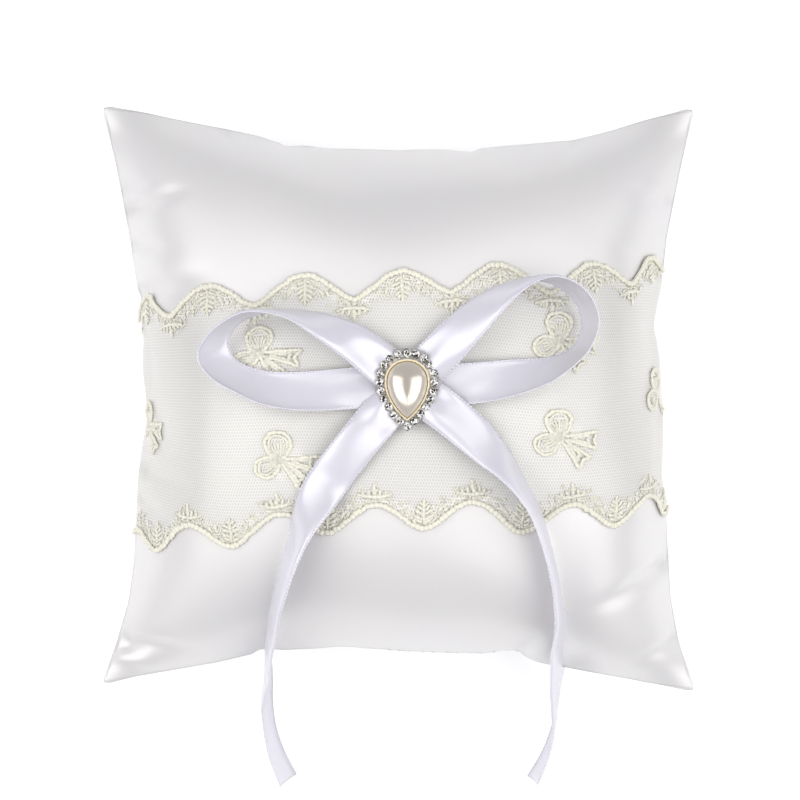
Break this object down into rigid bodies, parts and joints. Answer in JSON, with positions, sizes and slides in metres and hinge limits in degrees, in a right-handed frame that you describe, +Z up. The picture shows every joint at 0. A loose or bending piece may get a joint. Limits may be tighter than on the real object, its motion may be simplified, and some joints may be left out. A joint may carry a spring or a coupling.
{
  "type": "ring bearer pillow",
  "caption": "Square stuffed satin cushion with a scalloped lace band, a ribbon bow with two long tails and a teardrop pearl brooch.",
  "frame": {"origin": "middle of the flat patch under the back that the pillow rests on", "axes": "+Z up out of the front through the brooch, +Y towards the pillow's top edge, +X towards its right edge"},
  "size_m": [0.2, 0.2342, 0.088],
  "materials": {
    "satin": "white polyester satin, glossy face out",
    "filling": "loose polyester fibre",
    "thread": "white polyester sewing thread",
    "lace_net": "fine ivory tulle",
    "lace_thread": "ivory rayon embroidery and cord",
    "ribbon": "double faced white satin ribbon",
    "silver_plate": "bright silver plating",
    "gold_plate": "pale gold plating",
    "rhinestone": "clear faceted glass with a foil back",
    "pearl": "pearl lacquer on a moulded cabochon",
    "glue": "hot-melt glue"
  },
  "bodies": {
    "root": {"front_cover": "satin", "back_cover": "satin", "fibre_filling": "filling", "closing_stitches": "thread", "lace_net": "lace_net", "lace_edge_cord_upper": "lace_thread", "lace_edge_cord_lower": "lace_thread", "lace_fan_embroidery": "lace_thread", "lace_bow_embroidery": "lace_thread", "bow_left_loop": "ribbon", "bow_right_loop": "ribbon", "bow_left_tail": "ribbon", "bow_right_tail": "ribbon", "bow_tack_stitches": "thread", "brooch_plate": "silver_plate", "brooch_glue_pad": "glue", "brooch_stone_cups": "silver_plate", "brooch_rhinestones": "rhinestone", "pearl_rim": "gold_plate", "pearl_cabochon": "pearl"}
  },
  "joints": []
}
